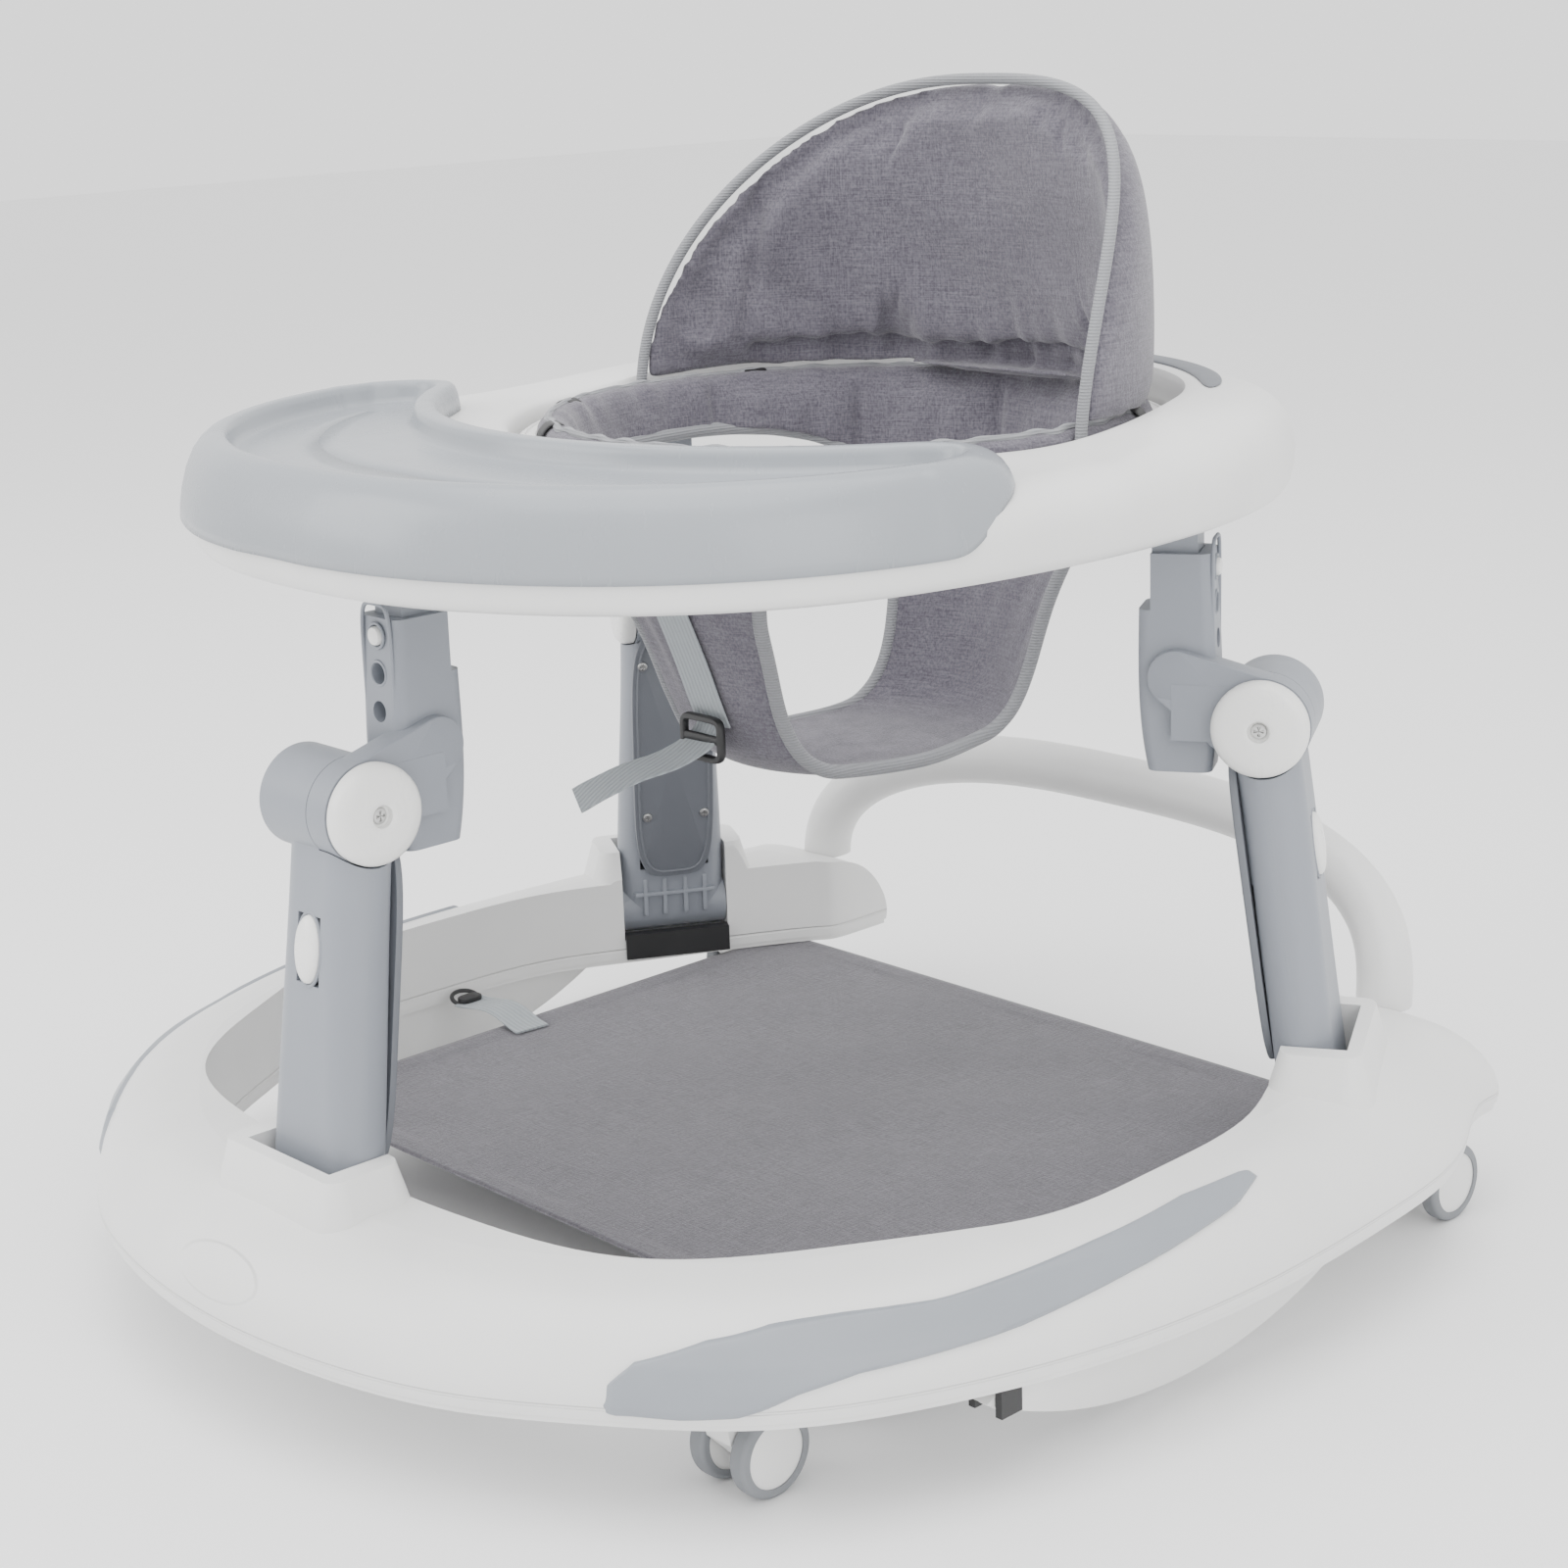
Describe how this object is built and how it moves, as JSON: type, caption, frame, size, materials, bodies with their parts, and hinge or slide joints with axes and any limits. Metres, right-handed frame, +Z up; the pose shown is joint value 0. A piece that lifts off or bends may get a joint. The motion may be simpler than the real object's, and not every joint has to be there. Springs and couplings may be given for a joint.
{
  "type": "baby walker",
  "caption": "Folding baby walker: horseshoe base on twin casters, three jointed legs, ring with snack tray, swivelling fabric seat, push handle and foot mat.",
  "frame": {"origin": "on the floor, under the centre of the whole walker", "axes": "+Z up, the child faces -Y, +X is the child's left"},
  "size_m": [0.7122, 0.704, 0.628],
  "materials": {
    "white_shell": "satin moulded",
    "tray_grey": "satin, glossy floor",
    "leg_grey": "fine satin",
    "cover_grey": "satin",
    "panel_grey": "satin",
    "black_plastic": "matt",
    "tyre_grey": "matt",
    "steel": "zinc plated",
    "fabric_heather": "heathered linen look",
    "mat_fabric": "heathered linen look",
    "webbing": "ribbed webbing",
    "piping": "woven tape"
  },
  "bodies": {
    "base": {"base_shell": "white_shell", "base_pan": "white_shell", "side_panel_left": "panel_grey", "side_panel_right": "panel_grey", "foot_pins": "steel", "latch_bars": "black_plastic", "push_handle": "white_shell", "foot_mat": "mat_fabric", "mat_ties": "webbing", "rocker_brackets": "black_plastic"},
    "rocker_left": {"rocker_left": "white_shell"},
    "rocker_right": {"rocker_right": "white_shell"},
    "caster_swivel_front_left": {"caster_fork_front_left": "white_shell"},
    "caster_wheels_front_left": {"wheel_hubs_front_left": "white_shell", "wheel_tyres_front_left": "tyre_grey"},
    "caster_swivel_front_right": {"caster_fork_front_right": "white_shell"},
    "caster_wheels_front_right": {"wheel_hubs_front_right": "white_shell", "wheel_tyres_front_right": "tyre_grey"},
    "caster_swivel_rear_left": {"caster_fork_rear_left": "white_shell"},
    "caster_wheels_rear_left": {"wheel_hubs_rear_left": "white_shell", "wheel_tyres_rear_left": "tyre_grey"},
    "caster_swivel_rear_right": {"caster_fork_rear_right": "white_shell"},
    "caster_wheels_rear_right": {"wheel_hubs_rear_right": "white_shell", "wheel_tyres_rear_right": "tyre_grey"},
    "lower_leg_front": {"lower_leg_front": "leg_grey", "leg_cover_front": "cover_grey", "knee_bolt_front": "steel"},
    "fold_button_front": {"fold_button_front": "white_shell"},
    "upper_leg_front": {"upper_leg_front": "leg_grey", "knee_cap_front": "white_shell"},
    "tongue_front": {"height_tongue_front": "leg_grey"},
    "height_button_front": {"height_button_front": "white_shell"},
    "lower_leg_left": {"lower_leg_left": "leg_grey", "leg_cover_left": "cover_grey", "knee_bolt_left": "steel"},
    "fold_button_left": {"fold_button_left": "white_shell"},
    "upper_leg_left": {"upper_leg_left": "leg_grey", "knee_cap_left": "white_shell"},
    "tongue_left": {"height_tongue_left": "leg_grey"},
    "height_button_left": {"height_button_left": "white_shell"},
    "lower_leg_right": {"lower_leg_right": "leg_grey", "leg_cover_right": "cover_grey", "knee_bolt_right": "steel"},
    "fold_button_right": {"fold_button_right": "white_shell"},
    "upper_leg_right": {"upper_leg_right": "leg_grey", "knee_cap_right": "white_shell"},
    "tongue_right": {"height_tongue_right": "leg_grey"},
    "height_button_right": {"height_button_right": "white_shell"},
    "ring": {"ring_shell": "white_shell", "ring_pins": "steel", "rear_grip": "cover_grey", "tray": "tray_grey", "tray_latch": "tray_grey"},
    "seat": {"seat_ring": "white_shell", "seat_pan": "fabric_heather", "seat_hoop": "piping", "seat_back": "fabric_heather", "crotch_webbing": "webbing", "slide_buckle": "black_plastic", "rim_clips": "black_plastic"}
  },
  "joints": [
    {"name": "rocker_swing_left", "type": "hinge", "parent": "base", "child": "rocker_left", "pos_m": [0.316, -0.128, 0.047], "axis": [-1, 0, 0], "range_deg": [0, 2.5]},
    {"name": "rocker_swing_right", "type": "hinge", "parent": "base", "child": "rocker_right", "pos_m": [-0.316, -0.128, 0.047], "axis": [-1, 0, 0], "range_deg": [0, 2.5]},
    {"name": "caster_swivel_front_left", "type": "hinge", "parent": "base", "child": "caster_swivel_front_left", "pos_m": [0.231, -0.219, 0.05], "axis": [0, 0, 1], "continuous": true},
    {"name": "wheel_spin_front_left", "type": "hinge", "parent": "caster_swivel_front_left", "child": "caster_wheels_front_left", "pos_m": [0.231, -0.206, 0.022], "axis": [1, 0, 0], "continuous": true},
    {"name": "caster_swivel_front_right", "type": "hinge", "parent": "base", "child": "caster_swivel_front_right", "pos_m": [-0.231, -0.219, 0.05], "axis": [0, 0, 1], "continuous": true},
    {"name": "wheel_spin_front_right", "type": "hinge", "parent": "caster_swivel_front_right", "child": "caster_wheels_front_right", "pos_m": [-0.231, -0.206, 0.022], "axis": [1, 0, 0], "continuous": true},
    {"name": "caster_swivel_rear_left", "type": "hinge", "parent": "base", "child": "caster_swivel_rear_left", "pos_m": [0.284, 0.252, 0.05], "axis": [0, 0, 1], "continuous": true},
    {"name": "wheel_spin_rear_left", "type": "hinge", "parent": "caster_swivel_rear_left", "child": "caster_wheels_rear_left", "pos_m": [0.284, 0.265, 0.022], "axis": [1, 0, 0], "continuous": true},
    {"name": "caster_swivel_rear_right", "type": "hinge", "parent": "base", "child": "caster_swivel_rear_right", "pos_m": [-0.284, 0.252, 0.05], "axis": [0, 0, 1], "continuous": true},
    {"name": "wheel_spin_rear_right", "type": "hinge", "parent": "caster_swivel_rear_right", "child": "caster_wheels_rear_right", "pos_m": [-0.284, 0.265, 0.022], "axis": [1, 0, 0], "continuous": true},
    {"name": "fold_front", "type": "hinge", "parent": "base", "child": "lower_leg_front", "pos_m": [0, -0.279, 0.088], "axis": [-1, 0, 0], "range_deg": [0, 46], "deforming": ["seat_pan", "crotch_webbing"]},
    {"name": "knee_front", "type": "hinge", "parent": "lower_leg_front", "child": "upper_leg_front", "pos_m": [0, -0.25, 0.3], "axis": [-1, 0, 0], "range_deg": [-109.47, 0]},
    {"name": "height_front", "type": "slide", "parent": "upper_leg_front", "child": "tongue_front", "axis": [0, 0, 1], "range_m": [-0.038, 0], "deforming": ["height_button_front"]},
    {"name": "fold_button_press_front", "type": "slide", "parent": "lower_leg_front", "child": "fold_button_front", "axis": [0, 1, 0], "range_m": [0, 0.004], "stiffness_N_per_m": 400},
    {"name": "height_button_press_front", "type": "slide", "parent": "tongue_front", "child": "height_button_front", "axis": [0, 1, 0], "range_m": [0, 0.0045], "stiffness_N_per_m": 300},
    {"name": "fold_left", "type": "hinge", "parent": "base", "child": "lower_leg_left", "pos_m": [0.26674, 0.183, 0.088], "axis": [0.5, -0.866, 0], "range_deg": [0, 46]},
    {"name": "knee_left", "type": "hinge", "parent": "lower_leg_left", "child": "upper_leg_left", "pos_m": [0.24162, 0.1685, 0.3], "axis": [0.5, -0.866, 0], "range_deg": [-109.47, 0]},
    {"name": "height_left", "type": "slide", "parent": "upper_leg_left", "child": "tongue_left", "axis": [0, 0, 1], "range_m": [-0.038, 0], "deforming": ["height_button_left"]},
    {"name": "fold_button_press_left", "type": "slide", "parent": "lower_leg_left", "child": "fold_button_left", "axis": [-0.866, -0.5, 0], "range_m": [0, 0.004], "stiffness_N_per_m": 400},
    {"name": "height_button_press_left", "type": "slide", "parent": "tongue_left", "child": "height_button_left", "axis": [-0.866, -0.5, 0], "range_m": [0, 0.0045], "stiffness_N_per_m": 300},
    {"name": "fold_right", "type": "hinge", "parent": "base", "child": "lower_leg_right", "pos_m": [-0.26674, 0.183, 0.088], "axis": [0.5, 0.866, 0], "range_deg": [0, 46]},
    {"name": "knee_right", "type": "hinge", "parent": "lower_leg_right", "child": "upper_leg_right", "pos_m": [-0.24162, 0.1685, 0.3], "axis": [0.5, 0.866, 0], "range_deg": [-109.47, 0]},
    {"name": "height_right", "type": "slide", "parent": "upper_leg_right", "child": "tongue_right", "axis": [0, 0, 1], "range_m": [-0.038, 0], "deforming": ["height_button_right"]},
    {"name": "fold_button_press_right", "type": "slide", "parent": "lower_leg_right", "child": "fold_button_right", "axis": [0.866, -0.5, 0], "range_m": [0, 0.004], "stiffness_N_per_m": 400},
    {"name": "height_button_press_right", "type": "slide", "parent": "tongue_right", "child": "height_button_right", "axis": [0.866, -0.5, 0], "range_m": [0, 0.0045], "stiffness_N_per_m": 300},
    {"name": "ring_tilt", "type": "hinge", "parent": "tongue_front", "child": "ring", "pos_m": [0, -0.203, 0.436], "axis": [-1, 0, 0], "range_deg": [0, 63.47]},
    {"name": "seat_swivel", "type": "hinge", "parent": "ring", "child": "seat", "pos_m": [0, 0.1, 0.445], "axis": [0, 0, 1], "continuous": true}
  ],
  "couplings": [
    {"joint": "knee_front", "follows": "fold_front", "ratio": -2.369},
    {"joint": "fold_left", "follows": "fold_front", "ratio": 1},
    {"joint": "height_left", "follows": "height_front", "ratio": 1},
    {"joint": "knee_left", "follows": "fold_front", "ratio": -2.369},
    {"joint": "fold_right", "follows": "fold_front", "ratio": 1},
    {"joint": "height_right", "follows": "height_front", "ratio": 1},
    {"joint": "knee_right", "follows": "fold_front", "ratio": -2.369},
    {"joint": "ring_tilt", "follows": "fold_front", "ratio": 1.369}
  ]
}
